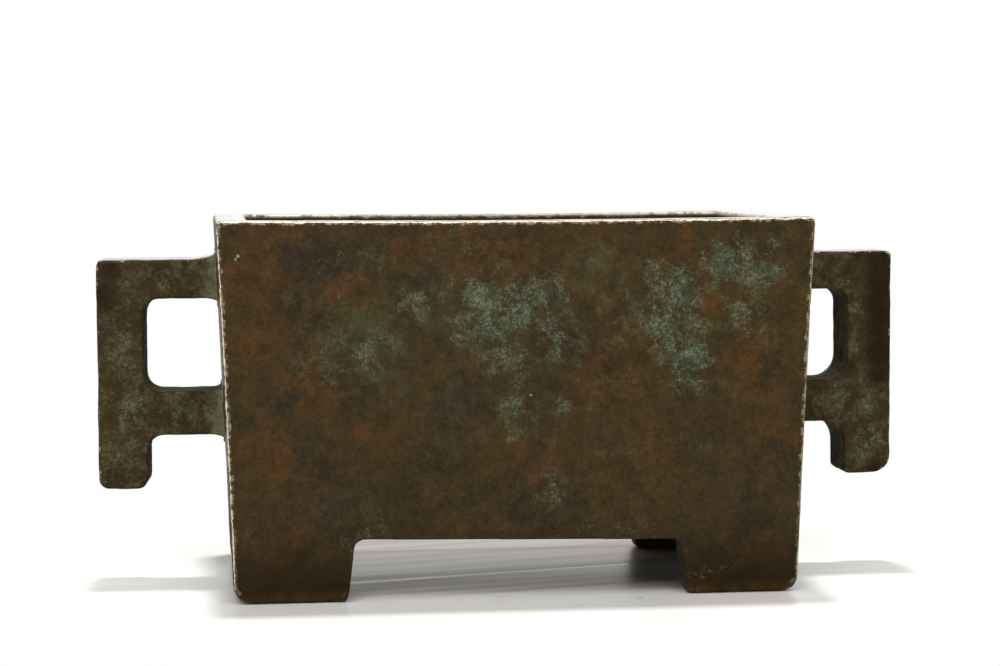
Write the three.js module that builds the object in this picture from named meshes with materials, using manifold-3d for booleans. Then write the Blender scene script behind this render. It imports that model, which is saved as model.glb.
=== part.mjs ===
// Rectangular bronze incense burner of the plain horse-trough kind.
// Millimetres, +Z up. X runs across the handles and Y through the depth, with the front at -Y.
// The origin is on the standing surface, under the middle of the footprint.

import * as THREE from 'three';
import { mergeVertices } from 'three/addons/utils/BufferGeometryUtils.js';
import Module from 'manifold-3d';

const wasm = await Module();
wasm.setup();

// Outside of the vessel
const rimWidth = 120;
const rimDepth = 74.2;
const footprintWidth = 114.1;
const footprintDepth = 68.7;
const height = 76.5;
const wallHollow = 0.13; // how far the faces draw in between rim and foot
const arrisRadius = 0.9; // upright corners
const rimRound = 0.9;
const footRound = 2.9; // where the faces turn under

// Inside of the vessel
const rimThickness = 7;
const cavityCornerRadius = 3;
const floorLedgeReach = 4; // how far the ledge stands in from the wall
const floorLedgeThickness = 3;
const basePlateThickness = 4;

// Bracket feet
const bellyHeight = 12.1;
const bellyLean = 0.65; // the long arches are cast out of level, higher at the left
const undersideRise = 0.7; // how far the vessel's underside is above the walls' lower edge
const footWidth = 22.8; // along the long sides, at the ground
const footReturn = 17.3; // along the short sides, at the ground
const footThickness = 8;
const footDraft = 1.6; // how much wider a foot is where it meets the belly
const bellyFillet = 1.8;
const footEdgeFillet = 1.4;

// Handles
const handleThickness = 13.5;
const handleOverhang = 24.1; // from the rim out to the handle's outer edge
const handleBelowRim = 7.95;
const upperArmHeight = 8.65;
const lowerArmHeight = 9.55;
const lowerArmAboveFloor = 11.45; // keeps its rivet clear of the base plate
const gripWidth = 10.1;
const legLength = 11.2; // below the lower arm
const legWidth = 10.7;
const handleEdgeRound = 0.9;
const outerCornerRadius = 1.4;
const windowCornerRadius = 3;
const rootFillet = 2.4;
const underArmFillet = 3;
const topRootFillet = 2.8;
const flareLength = 4.4; // the top arm thickens over this length before its fillet
const flareRise = 0.7;
const flareBlend = 8;

// The handles were cast and fitted by hand: the left one sits a little low and out of square, and
// the right one's leg has a rounder toe and rounder corners inside
const sides = [
  {
    name: 'left',
    side: -1,
    drop: 0.55,
    shift: 0.1,
    twist: THREE.MathUtils.degToRad(2.6),
    sillRadius: 3,
    toeRadius: 2.4,
    heelRadius: 2.4,
  },
  {
    name: 'right',
    side: 1,
    drop: 0,
    shift: 0,
    twist: 0,
    sillRadius: 4.4,
    toeRadius: 4,
    heelRadius: 1.4,
  },
];

// Rivets
const rivetShankRadius = 1.9;
const rivetHeadRadius = 3.4;
const rivetHeadHeight = 1.7;
const rivetGrip = 5; // from the wall's outer face to the end of the shank, inside the arm

// Clearances
const seatGap = 0.3; // between faces that touch
const rivetClearance = 0.3; // round the shank, and past its end

// Smoothness
const arcSegments = 3;
const shankSides = 24;
const domeSteps = 6;
const wallSteps = 8;
const roundSteps = 4;
const overshoot = 5; // how far cutting tools run past what they cut
const rootMargin = 2 * handleEdgeRound; // how far an arm's root follows the wall past its fillet
const rootRetreat = 0.6; // how far it has turned into the wall by then, so a twist leaves no fin

const bronze = new THREE.MeshStandardMaterial({ color: 0x4a3a28, roughness: 0.55, metalness: 0.7 });
const handleBronze = new THREE.MeshStandardMaterial({ color: 0x4c4431, roughness: 0.58, metalness: 0.7 });
const floorBronze = new THREE.MeshStandardMaterial({ color: 0x3b3023, roughness: 0.65, metalness: 0.65 });
const rivetBronze = new THREE.MeshStandardMaterial({ color: 0x5a4a30, roughness: 0.5, metalness: 0.75 });

// Solids

// Merging folds the triangles on a lathe's axis into lines, and those are left out
function solidOf(geometry) {
  geometry.deleteAttribute('normal');
  geometry.deleteAttribute('uv');
  const merged = mergeVertices(geometry, 1e-4);
  const index = merged.index.array;
  const triangles = [];
  for (let i = 0; i < index.length; i += 3) {
    const [a, b, c] = index.slice(i, i + 3);
    if (a !== b && b !== c && c !== a) triangles.push(a, b, c);
  }
  return new wasm.Manifold(new wasm.Mesh({
    numProp: 3,
    vertProperties: new Float32Array(merged.attributes.position.array),
    triVerts: new Uint32Array(triangles),
  }));
}

function geometryOf(solid) {
  const mesh = solid.getMesh();
  const geometry = new THREE.BufferGeometry();
  geometry.setAttribute('position', new THREE.BufferAttribute(new Float32Array(mesh.vertProperties), 3));
  geometry.setIndex(new THREE.BufferAttribute(new Uint32Array(mesh.triVerts), 1));
  return geometry;
}

// A closed outline through corners [x, y, radius], each rounded by an arc that touches both sides
function filletedPath(path, corners) {
  corners.forEach(([x, y, radius], i) => {
    const corner = new THREE.Vector2(x, y);
    const before = corners[(i + corners.length - 1) % corners.length];
    const after = corners[(i + 1) % corners.length];
    const back = new THREE.Vector2(before[0], before[1]).sub(corner).normalize();
    const ahead = new THREE.Vector2(after[0], after[1]).sub(corner).normalize();
    if (radius === 0) {
      if (i === 0) path.moveTo(x, y);
      else path.lineTo(x, y);
      return;
    }
    const halfAngle = Math.acos(back.dot(ahead)) / 2;
    const run = radius / Math.tan(halfAngle);
    const inwards = back.clone().add(ahead).normalize();
    const centre = corner.clone().addScaledVector(inwards, radius / Math.sin(halfAngle));
    const start = corner.clone().addScaledVector(back, run).sub(centre);
    const end = corner.clone().addScaledVector(ahead, run).sub(centre);
    if (i === 0) path.moveTo(centre.x + start.x, centre.y + start.y);
    path.absarc(centre.x, centre.y, radius, start.angle(), end.angle(), back.cross(ahead) > 0);
  });
  path.closePath();
  return path;
}

function roundedRectangle(halfWidth, halfDepth, radius) {
  return filletedPath(new THREE.Shape(), [
    [-halfWidth, -halfDepth, radius],
    [halfWidth, -halfDepth, radius],
    [halfWidth, halfDepth, radius],
    [-halfWidth, halfDepth, radius],
  ]);
}

// A solid whose section at each level { z, halfWidth, halfDepth } is a rounded rectangle
function loft(levels, radius) {
  const base = levels[0];
  const geometry = new THREE.ExtrudeGeometry(roundedRectangle(base.halfWidth, base.halfDepth, radius), {
    depth: levels.length - 1,
    steps: levels.length - 1,
    curveSegments: arcSegments,
    bevelEnabled: false,
  });
  const position = geometry.attributes.position;
  for (let i = 0; i < position.count; i += 1) {
    const level = levels[Math.round(position.getZ(i))];
    const x = position.getX(i);
    const y = position.getY(i);
    position.setXYZ(
      i,
      x + Math.sign(x) * (level.halfWidth - base.halfWidth),
      y + Math.sign(y) * (level.halfDepth - base.halfDepth),
      level.z,
    );
  }
  return solidOf(geometry);
}

// The outer faces

function outerHalf(z) {
  const t = z / height;
  const drawIn = wallHollow * 4 * t * (1 - t);
  return {
    halfWidth: THREE.MathUtils.lerp(footprintWidth, rimWidth, t) / 2 - drawIn,
    halfDepth: THREE.MathUtils.lerp(footprintDepth, rimDepth, t) / 2 - drawIn,
  };
}

function outerLevel(z, inset) {
  const { halfWidth, halfDepth } = outerHalf(z);
  return { z, halfWidth: halfWidth - inset, halfDepth: halfDepth - inset };
}

function outerBody() {
  const levels = [];
  for (let i = 0; i <= roundSteps; i += 1) {
    const angle = (i / roundSteps) * Math.PI / 2;
    levels.push(outerLevel(footRound * (1 - Math.cos(angle)), footRound * (1 - Math.sin(angle))));
  }
  for (let i = 1; i < wallSteps; i += 1) {
    levels.push(outerLevel(THREE.MathUtils.lerp(footRound, height - rimRound, i / wallSteps), 0));
  }
  for (let i = 0; i <= roundSteps; i += 1) {
    const angle = (i / roundSteps) * Math.PI / 2;
    const z = height - rimRound * (1 - Math.sin(angle));
    levels.push(outerLevel(z, rimRound * (1 - Math.cos(angle))));
  }
  return loft(levels, arrisRadius);
}

// The outer faces grown by a gap, to cut what seats against them
function outerSeat() {
  const levels = [];
  for (let i = 0; i <= wallSteps; i += 1) {
    levels.push(outerLevel(THREE.MathUtils.lerp(0, height, i / wallSteps), -seatGap));
  }
  return loft(levels, arrisRadius + seatGap);
}

// The hollow of the vessel

const undersideHeight = bellyHeight + undersideRise;
const ledgeTop = undersideHeight + floorLedgeThickness;
const basePlateBottom = ledgeTop + seatGap;
const floorTop = basePlateBottom + basePlateThickness;

function cavityHalf(z, inset) {
  const { halfWidth, halfDepth } = outerHalf(z);
  return { z, halfWidth: halfWidth - rimThickness - inset, halfDepth: halfDepth - rimThickness - inset };
}

function cavity(inset) {
  const levels = [];
  for (let i = 0; i <= wallSteps; i += 1) {
    levels.push(cavityHalf(THREE.MathUtils.lerp(ledgeTop, height - rimRound, i / wallSteps), inset));
  }
  // The rim's inner edge is rounded as its outer one is
  for (let i = 1; i <= roundSteps; i += 1) {
    const angle = (i / roundSteps) * Math.PI / 2;
    const level = cavityHalf(height - rimRound * (1 - Math.sin(angle)), inset);
    const opened = rimRound * (1 - Math.cos(angle));
    levels.push({
      z: level.z,
      halfWidth: level.halfWidth + opened,
      halfDepth: level.halfDepth + opened,
    });
  }
  const mouth = levels[levels.length - 1];
  levels.push({ z: height + overshoot, halfWidth: mouth.halfWidth, halfDepth: mouth.halfDepth });
  return loft(levels, cavityCornerRadius);
}

function floorOpening() {
  const low = cavityHalf(0, floorLedgeReach);
  const high = cavityHalf(ledgeTop, floorLedgeReach);
  return loft([{ ...low, z: -overshoot }, { ...high, z: ledgeTop + overshoot }], cavityCornerRadius);
}

// The space under the vessel, inside the bracket feet
function underside() {
  const level = (z) => {
    const { halfWidth, halfDepth } = outerHalf(Math.max(z, 0));
    return { z, halfWidth: halfWidth - footThickness, halfDepth: halfDepth - footThickness };
  };
  return loft([level(-overshoot), level(undersideHeight)], cavityCornerRadius);
}

// One arch between two feet, drawn on the ground line and run through the whole vessel
function arch(halfGap, lean, length) {
  const halfTop = halfGap - footDraft;
  const shape = filletedPath(new THREE.Shape(), [
    [-halfGap - footEdgeFillet - overshoot, -overshoot, 0],
    [halfGap + footEdgeFillet + overshoot, -overshoot, 0],
    [halfGap + footEdgeFillet + overshoot, 0, 0],
    [halfGap, 0, footEdgeFillet],
    [halfTop, bellyHeight - lean, bellyFillet],
    [-halfTop, bellyHeight + lean, bellyFillet],
    [-halfGap, 0, footEdgeFillet],
    [-halfGap - footEdgeFillet - overshoot, 0, 0],
  ]);
  const geometry = new THREE.ExtrudeGeometry(shape, {
    depth: length,
    curveSegments: arcSegments,
    bevelEnabled: false,
  });
  geometry.translate(0, 0, -length / 2);
  geometry.rotateX(Math.PI / 2);
  return geometry;
}

function vesselBody() {
  const frontArch = arch(footprintWidth / 2 - footWidth, bellyLean, rimDepth + overshoot);
  const sideArch = arch(footprintDepth / 2 - footReturn, 0, rimWidth + overshoot);
  sideArch.rotateZ(Math.PI / 2);
  let solid = outerBody()
    .subtract(cavity(0))
    .subtract(floorOpening())
    .subtract(underside())
    .subtract(solidOf(frontArch))
    .subtract(solidOf(sideArch));
  for (const { side, drop } of sides) {
    for (const z of rivetHeights) solid = solid.subtract(rivetBore(side, z - drop));
  }
  return solid;
}

function basePlate() {
  return loft([cavityHalf(basePlateBottom, seatGap), cavityHalf(floorTop, seatGap)], cavityCornerRadius);
}

// Handles

const handleReach = rimWidth / 2 + handleOverhang;
const handleTop = height - handleBelowRim;
const windowTop = handleTop - upperArmHeight;
const lowerArmBottom = floorTop + lowerArmAboveFloor;
const lowerArmTop = lowerArmBottom + lowerArmHeight;
const legBottom = lowerArmBottom - legLength;
const rivetHeights = [(handleTop + windowTop) / 2, (lowerArmTop + lowerArmBottom) / 2];

function wallAt(z) {
  return outerHalf(z).halfWidth;
}

// How far a root's fillet reaches along the wall, as for the sharpest corner, at the top
const wallLean = Math.atan2(rimWidth - footprintWidth, 2 * height);
const flareAngle = Math.atan2(flareRise, flareLength);

function rootReach(fillet) {
  return fillet / Math.tan((Math.PI / 2 - wallLean - flareAngle) / 2) + rootMargin;
}

// The outline runs on into the wall, past the roots' fillets, and the wall's face then cuts it off
function handleOutline({ side, sillRadius, toeRadius, heelRadius }) {
  const mirrored = (corners) => corners.map(([x, z, radius]) => [side * x, z, radius]);
  const inWall = wallAt(lowerArmBottom) - overshoot;
  const legInner = handleReach - legWidth;
  const gripInner = handleReach - gripWidth;
  const flaredTop = handleTop + flareRise;
  const topEnd = flaredTop + rootReach(topRootFillet);
  const underArmEnd = lowerArmBottom - rootReach(underArmFillet);
  const windowMiddle = (lowerArmTop + windowTop) / 2;
  const windowRoom = (windowTop - lowerArmTop) / 2;
  const outline = filletedPath(new THREE.Shape(), mirrored([
    [inWall, topEnd, 0],
    [wallAt(topEnd) - rootRetreat, topEnd, 0],
    [wallAt(flaredTop), flaredTop, topRootFillet],
    [wallAt(handleTop) + flareLength, handleTop, flareBlend],
    [handleReach, handleTop, outerCornerRadius],
    [handleReach, legBottom, toeRadius],
    [legInner, legBottom, heelRadius],
    [legInner, lowerArmBottom, sillRadius],
    [wallAt(lowerArmBottom), lowerArmBottom, underArmFillet],
    [wallAt(underArmEnd) - rootRetreat, underArmEnd, 0],
    [inWall, underArmEnd, 0],
  ]));
  outline.holes.push(filletedPath(new THREE.Path(), mirrored([
    [wallAt(windowMiddle) - rootRetreat, windowMiddle, 0],
    [wallAt(lowerArmTop), lowerArmTop, rootFillet],
    [gripInner, lowerArmTop, Math.min(sillRadius, windowRoom)],
    [gripInner, windowTop, Math.min(windowCornerRadius, windowRoom)],
    [wallAt(windowTop), windowTop, rootFillet],
  ])));
  return outline;
}

function handle(placed) {
  const { side, drop, shift, twist } = placed;
  const geometry = new THREE.ExtrudeGeometry(handleOutline(placed), {
    depth: handleThickness - 2 * handleEdgeRound,
    curveSegments: arcSegments,
    bevelSize: handleEdgeRound,
    bevelOffset: -handleEdgeRound,
    bevelThickness: handleEdgeRound,
    bevelSegments: arcSegments,
  });
  geometry.translate(0, 0, handleEdgeRound - handleThickness / 2);
  geometry.rotateX(Math.PI / 2);
  const root = side * wallAt((handleTop + lowerArmBottom) / 2);
  geometry.translate(-root, 0, 0);
  geometry.rotateZ(side * twist);
  geometry.translate(root + side * shift, 0, -drop);
  let solid = solidOf(geometry).subtract(outerSeat());
  for (const z of rivetHeights) solid = solid.subtract(rivetBore(side, z - drop));
  return solid;
}

// Rivets, from the inner wall through it into the root of an arm

function bar(side, z, radius, start, end) {
  const geometry = new THREE.CylinderGeometry(radius, radius, end - start, shankSides);
  geometry.rotateZ(Math.PI / 2);
  geometry.translate(side * (start + end) / 2, 0, z);
  return solidOf(geometry);
}

function rivetBore(side, z) {
  const start = wallAt(z) - rimThickness - overshoot;
  const end = wallAt(z) + rivetGrip + rivetClearance;
  return bar(side, z, rivetShankRadius + rivetClearance, start, end);
}

function rivet(side, z) {
  const inner = wallAt(z) - rimThickness;
  const dome = [new THREE.Vector2(0, -overshoot), new THREE.Vector2(rivetHeadRadius, -overshoot)];
  for (let i = 0; i <= domeSteps; i += 1) {
    const angle = (i / domeSteps) * Math.PI / 2;
    dome.push(new THREE.Vector2(rivetHeadRadius * Math.cos(angle), rivetHeadHeight * Math.sin(angle)));
  }
  dome[dome.length - 1].x = 0;
  const geometry = new THREE.LatheGeometry(dome, shankSides);
  geometry.rotateZ(side * Math.PI / 2);
  geometry.translate(side * inner, 0, z);
  const head = solidOf(geometry).intersect(cavity(seatGap));
  const shank = bar(side, z, rivetShankRadius, inner - rivetHeadHeight / 2, wallAt(z) + rivetGrip);
  return shank.add(head);
}

// The assembly

const burner = new THREE.Group();

function addPiece(name, solid, material) {
  const mesh = new THREE.Mesh(geometryOf(solid), material);
  mesh.name = name;
  burner.add(mesh);
}

addPiece('vessel_body', vesselBody(), bronze);
addPiece('base_plate', basePlate(), floorBronze);
for (const placed of sides) {
  const { name, side, drop } = placed;
  addPiece(`${name}_handle`, handle(placed), handleBronze);
  addPiece(`${name}_upper_rivet`, rivet(side, rivetHeights[0] - drop), rivetBronze);
  addPiece(`${name}_lower_rivet`, rivet(side, rivetHeights[1] - drop), rivetBronze);
}

export default burner;
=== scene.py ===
"""A rectangular bronze incense burner: the cast pieces, their patina and a plain studio."""

import math
from collections.abc import Callable
from dataclasses import dataclass

import bmesh
import bpy
import numpy as np
from mathutils import Matrix, Vector


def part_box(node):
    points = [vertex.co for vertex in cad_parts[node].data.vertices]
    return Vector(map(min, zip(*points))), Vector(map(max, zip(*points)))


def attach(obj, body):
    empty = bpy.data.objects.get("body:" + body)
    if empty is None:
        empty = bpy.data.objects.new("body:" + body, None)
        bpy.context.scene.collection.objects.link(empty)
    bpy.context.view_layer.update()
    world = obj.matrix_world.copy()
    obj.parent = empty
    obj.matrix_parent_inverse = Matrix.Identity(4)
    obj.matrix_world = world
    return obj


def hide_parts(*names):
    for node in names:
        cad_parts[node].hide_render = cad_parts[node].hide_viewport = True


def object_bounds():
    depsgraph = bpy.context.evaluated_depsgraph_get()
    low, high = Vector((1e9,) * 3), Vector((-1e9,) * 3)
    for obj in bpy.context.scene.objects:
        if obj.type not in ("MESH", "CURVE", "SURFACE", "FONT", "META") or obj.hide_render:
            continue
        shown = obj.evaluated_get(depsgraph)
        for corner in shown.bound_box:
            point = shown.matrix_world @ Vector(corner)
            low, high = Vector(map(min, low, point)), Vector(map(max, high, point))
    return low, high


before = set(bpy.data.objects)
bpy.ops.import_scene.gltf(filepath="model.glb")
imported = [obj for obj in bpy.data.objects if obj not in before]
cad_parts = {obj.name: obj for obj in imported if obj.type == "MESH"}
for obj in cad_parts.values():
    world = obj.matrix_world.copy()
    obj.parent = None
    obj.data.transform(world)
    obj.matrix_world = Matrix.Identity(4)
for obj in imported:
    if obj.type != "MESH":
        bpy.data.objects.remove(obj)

bl_info = {
    "name": "Rectangular incense burner",
    "version": (1, 0, 0),
    "blender": (4, 5, 0),
    "location": "3D View > Sidebar > Incense burner",
    "description": "Weathers the castings of a bronze incense burner and sets up its studio",
    "category": "Add Mesh",
}

CAD_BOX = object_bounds()
MM = 0.001


# Settings

def length_setting(name, description, default, least=0.0):
    return bpy.props.FloatProperty(
        name=name, description=description, default=default, min=least, unit="LENGTH", precision=5)


def colour_setting(name, description, default):
    return bpy.props.FloatVectorProperty(
        name=name, description=description, subtype="COLOR", size=3, min=0.0, max=1.0, default=default)


class CastingSettings(bpy.types.PropertyGroup):
    """How fine the castings are meshed and how uneven they are."""

    body_voxel: length_setting("Vessel voxel", "Mesh size of the vessel, before thinning", 0.00042, 0.0003)
    handle_voxel: length_setting("Handle voxel", "Mesh size of the handles", 0.00026, 0.0002)
    rivet_voxel: length_setting("Rivet voxel", "Mesh size of the rivets", 0.00016, 0.0001)
    wave: length_setting("Wave", "Height of the slow waves in the cast faces", 0.0001)
    lump: length_setting("Lumps", "Height of the small swellings in the cast faces", 0.00004)
    nick: length_setting("Nicks", "Depth of the knocks along worn edges", 0.0003)
    rim_sag: length_setting("Rim sag", "How far the long rims dip in the middle", 0.00042)
    seat: length_setting("Handle seat", "Gap left between a handle's root and the wall", 0.00004)
    bead: length_setting("Solder bead", "Size of the solder along the handles' roots", 0.0009)


class PatinaSettings(bpy.types.PropertyGroup):
    """Colours and amounts of the bronze's surface."""

    olive: colour_setting("Olive brown", "Main colour of the patina", (0.04, 0.0275, 0.0105))
    russet: colour_setting("Russet", "Reddish clouds in the patina", (0.054, 0.0265, 0.0095))
    umber: colour_setting("Umber", "Dark greyish clouds in the patina", (0.029, 0.0205, 0.0135))
    ochre: colour_setting("Ochre", "Yellow-brown stains in the patina", (0.072, 0.036, 0.0075))
    moss: colour_setting("Moss", "Thin green bloom between the powdery patches", (0.04, 0.049, 0.0235))
    teal: colour_setting("Teal", "Bluish bloom under the powdery patches", (0.034, 0.054, 0.034))
    verdigris: colour_setting("Verdigris", "Powdery green specks", (0.155, 0.165, 0.102))
    dust: colour_setting("Dust", "Pale specks on the handles and in their openings", (0.15, 0.14, 0.088))
    khaki: colour_setting("Khaki", "Dusty grey-green of the handles and their solder", (0.08, 0.076, 0.04))
    # Also laid darker towards the bottom, and as painted shade on the rounded edges round the handles'
    # openings
    grime_and_shade: colour_setting("Grime", "Colour that gathers in the hollows and low down", (0.0105, 0.0055, 0.002))
    bronze: colour_setting("Bronze", "Metal of the polished upper faces", (0.3, 0.2, 0.11))
    # Pale gold of rubbed edges, also painted along the arrises and the rim as their highlight
    rubbed_and_highlight: colour_setting("Rubbed metal", "Pale gold of the edges that hands have rubbed", (0.8, 0.69, 0.5))
    verdigris_amount: bpy.props.FloatProperty(
        name="Verdigris amount", description="How strongly the green specks show",
        subtype="FACTOR", default=0.72, min=0.0, max=1.0)
    grain_height: length_setting("Grain height", "Height of the fine cast grain", 0.00005)


class StageSettings(bpy.types.PropertyGroup):
    """Camera, floor and lamps."""

    lens: bpy.props.FloatProperty(
        name="Lens", description="Focal length on a 36 mm wide frame",
        default=90.10, min=20.0, unit="CAMERA")
    camera_place: bpy.props.FloatVectorProperty(
        name="Camera place", description="Where the camera stands",
        subtype="XYZ", size=3, unit="LENGTH", default=(-0.0625, -0.52722, 0.08706))
    camera_yaw: bpy.props.FloatProperty(
        name="Camera yaw", description="Turn of the view from the depth axis, left is more",
        subtype="ANGLE", default=math.radians(-6.795))
    camera_pitch: bpy.props.FloatProperty(
        name="Camera pitch", description="Tilt of the view below level",
        subtype="ANGLE", default=math.radians(3.861))
    camera_roll: bpy.props.FloatProperty(
        name="Camera roll", description="Lean of the frame",
        subtype="ANGLE", default=math.radians(-0.267))
    floor_colour: colour_setting("Floor colour", "Pale floor", (0.88, 0.86, 0.81))
    # Also the warm brown shade painted onto the floor under the vessel
    floor_dirt_and_shade: colour_setting("Floor dirt", "Specks and grubby places of the floor", (0.28, 0.19, 0.08))
    backdrop_level: bpy.props.FloatProperty(
        name="Backdrop level", description="Light from the white backdrop, low down behind",
        default=1.0, min=0.0)
    room_level: bpy.props.FloatProperty(
        name="Room level", description="Light from the room, on the camera's side",
        default=0.16, min=0.0)
    key_power: bpy.props.FloatProperty(
        name="Key lamp", description="Power of the lamp overhead, which casts the shadows",
        default=18.5, min=0.0, unit="POWER")
    fill_power: bpy.props.FloatProperty(
        name="Fill lamp", description="Power of the soft lamp in front",
        default=8.5, min=0.0, unit="POWER")


# Mesh tools

def modified(mesh, kind, **settings):
    """A copy of a mesh with one modifier applied."""
    helper = bpy.data.objects.new("helper", mesh)
    bpy.context.scene.collection.objects.link(helper)
    modifier = helper.modifiers.new("modifier", kind)
    for name, setting in settings.items():
        setattr(modifier, name, setting)
    depsgraph = bpy.context.evaluated_depsgraph_get()
    made = bpy.data.meshes.new_from_object(helper.evaluated_get(depsgraph))
    bpy.data.objects.remove(helper)
    return made


def remeshed(mesh, voxel):
    """A copy of a mesh with an even skin of faces about voxel across."""
    return modified(mesh, "REMESH", mode="VOXEL", voxel_size=voxel)


def skin_of(node, voxel):
    return remeshed(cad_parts[node].data.copy(), voxel)


def thinned(mesh, share):
    """A copy of a mesh with a share of its faces, kept where the shape bends most."""
    return modified(mesh, "DECIMATE", ratio=share)


def points_of(mesh):
    points = np.empty(len(mesh.vertices) * 3)
    mesh.vertices.foreach_get("co", points)
    return points.reshape(-1, 3)


def set_points(mesh, points):
    mesh.vertices.foreach_set("co", points.ravel())
    mesh.update()


def normals_of(mesh):
    normals = np.empty(len(mesh.vertices) * 3)
    mesh.vertices.foreach_get("normal", normals)
    return normals.reshape(-1, 3)


def edges_of(mesh):
    edges = np.empty(len(mesh.edges) * 2, dtype=np.int64)
    mesh.edges.foreach_get("vertices", edges)
    return edges.reshape(-1, 2)


def relaxed(points, edges, passes):
    """Points moved halfway to the middle of their neighbours, passes times."""
    start, end = edges[:, 0], edges[:, 1]
    count = len(points)
    neighbours = np.bincount(edges.ravel(), minlength=count)[:, None]
    for _ in range(passes):
        total = np.stack([
            np.bincount(start, points[end, axis], count) + np.bincount(end, points[start, axis], count)
            for axis in range(3)
        ], axis=1)
        points = (points + total / neighbours) / 2
    return points


def lattice_value(cell, seed):
    """A repeatable number from -1 to 1 for each cell of a lattice."""
    mixed = (cell[:, 0] * 73856093) ^ (cell[:, 1] * 19349663) ^ (cell[:, 2] * 83492791) ^ (seed * 40503)
    mixed = (mixed ^ (mixed >> 13)) * 1274126177
    mixed = (mixed ^ (mixed >> 16)) & 0xFFFF
    return mixed / 0x7FFF - 1


def smooth_noise(points, size, seed):
    """Smooth noise from -1 to 1 whose swellings are about size across, in metres."""
    cell = points / size
    low = np.floor(cell).astype(np.int64)
    share = cell - low
    share = share * share * (3 - 2 * share)
    total = np.zeros(len(points))
    for corner in range(8):
        step = np.array([corner & 1, corner >> 1 & 1, corner >> 2 & 1])
        weight = np.prod(np.where(step, share, 1 - share), axis=1)
        total += weight * lattice_value(low + step, seed)
    return total


def rough_noise(points, size, seed, octaves=3):
    """Several sizes of smooth noise together, turned so that their lattices don't line up."""
    total = np.zeros(len(points))
    turn = np.array(Matrix.Rotation(0.7, 3, Vector((1, 2, 3))))
    for octave in range(octaves):
        points = points @ turn
        total += smooth_noise(points, size / 2 ** octave, seed + octave) / 2 ** octave
    return total / 1.5


def blend_step(values, low, high):
    share = np.clip((values - low) / (high - low), 0, 1)
    return share * share * (3 - 2 * share)


def store(mesh, name, values):
    """Keeps one number for each vertex, for the material to read."""
    layer = mesh.attributes.new(name, "FLOAT", "POINT")
    layer.data.foreach_set("value", values.astype(np.float32))


# How many times a mesh is relaxed to tell its bends, and how far the sharpest ones then stand out
BEND_PASSES = 14
BEND_HEIGHT = 0.00012

# How large the casting's waves, its small swellings and the knocks along its edges are
WAVE_SIZE = 0.028
LUMP_SIZE = 0.005
KNOCK_SIZE = 0.0042


def bend_masks(mesh):
    """How far each vertex stands out of, and lies sunk into, the softened surface, from 0 to 1."""
    points = points_of(mesh)
    softened = relaxed(points, edges_of(mesh), BEND_PASSES)
    stands_out = np.einsum("ij,ij->i", points - softened, normals_of(mesh))
    return (blend_step(stands_out, 0.1 * BEND_HEIGHT, BEND_HEIGHT),
            blend_step(-stands_out, 0.1 * BEND_HEIGHT, BEND_HEIGHT))


def weathered(mesh, casting, wave_share, lump_share, seed, still=None):
    """The cast skin's waves, swellings and knocked edges, all of them cut into the metal."""
    points = points_of(mesh)
    normals = normals_of(mesh)
    worn, sunk = bend_masks(mesh)
    wave = casting.wave * wave_share * (rough_noise(points, WAVE_SIZE, seed) - 1)
    lump = casting.lump * lump_share * (rough_noise(points, LUMP_SIZE, seed + 10) - 1)
    knocks = blend_step(rough_noise(points, KNOCK_SIZE, seed + 20), 0.25, 0.9)
    push = wave + lump - casting.nick * knocks * worn
    if still is not None:
        push *= 1 - still(points, normals)
    set_points(mesh, points + normals * push[:, None])
    store(mesh, "worn", worn)
    store(mesh, "sunk", sunk)


def shown(name, mesh, material, node):
    """Puts a mesh in the scene in place of a CAD node."""
    mesh.name = name
    mesh.polygons.foreach_set("use_smooth", [True] * len(mesh.polygons))
    mesh.materials.clear()
    mesh.materials.append(material)
    piece = bpy.data.objects.new(name, mesh)
    bpy.context.scene.collection.objects.link(piece)
    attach(piece, "root")
    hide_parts(node)


# The vessel's outer faces, which taper almost evenly from rim to foot

def wall_line(axis):
    """Half the vessel's width or depth at the floor, and how much it grows per metre of height."""
    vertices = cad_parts["vessel_body"].data.vertices
    on_wall = {
        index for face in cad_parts["vessel_body"].data.polygons for index in face.vertices
        if abs(face.normal[axis]) > 0.98 and face.normal[axis] * face.center[axis] > 0
    }
    heights = [vertices[index].co.z for index in on_wall]
    growth, base = np.polyfit(heights, [abs(vertices[index].co[axis]) for index in on_wall], 1)
    return float(base), float(growth)


HEIGHT = CAD_BOX[1][2]
WALLS = (wall_line(0), wall_line(1))
HANDLE_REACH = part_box("right_handle")[1].x


def wall_half(z, axis):
    """Half the vessel's width (axis 0) or depth (axis 1) at a height, for numbers or sockets."""
    base, growth = WALLS[axis]
    return base + z * growth


def on_front(x, z):
    """The point of the front face at a place given in millimetres."""
    return (x * MM, -wall_half(z * MM, 1), z * MM)


def on_handle(x, z):
    """The point of a handle's front face at a place given in millimetres."""
    return (x * MM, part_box("right_handle")[0].y, z * MM)


# Shaders

class Wire:
    """A socket of a shader. Number expressions on it add Math nodes."""

    def __init__(self, shader, socket):
        self.shader = shader
        self.socket = socket

    def math(self, operation, *values):
        return self.shader.node("ShaderNodeMath", {"operation": operation}, dict(enumerate(values)))

    def __add__(self, other):
        return self.math("ADD", self, other)

    __radd__ = __add__

    def __sub__(self, other):
        return self.math("SUBTRACT", self, other)

    def __rsub__(self, other):
        return self.math("SUBTRACT", other, self)

    def __mul__(self, other):
        return self.math("MULTIPLY", self, other)

    __rmul__ = __mul__

    def __abs__(self):
        return self.math("ABSOLUTE", self)

    def step(self, low, high):
        """0 below low and 1 above high, with a smooth rise between."""
        return self.shader.node(
            "ShaderNodeMapRange", {"interpolation_type": "SMOOTHSTEP"},
            {"Value": self, "From Min": low, "From Max": high})

    def most(self, other):
        """The larger of two numbers."""
        return self.math("MAXIMUM", self, other)


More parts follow.
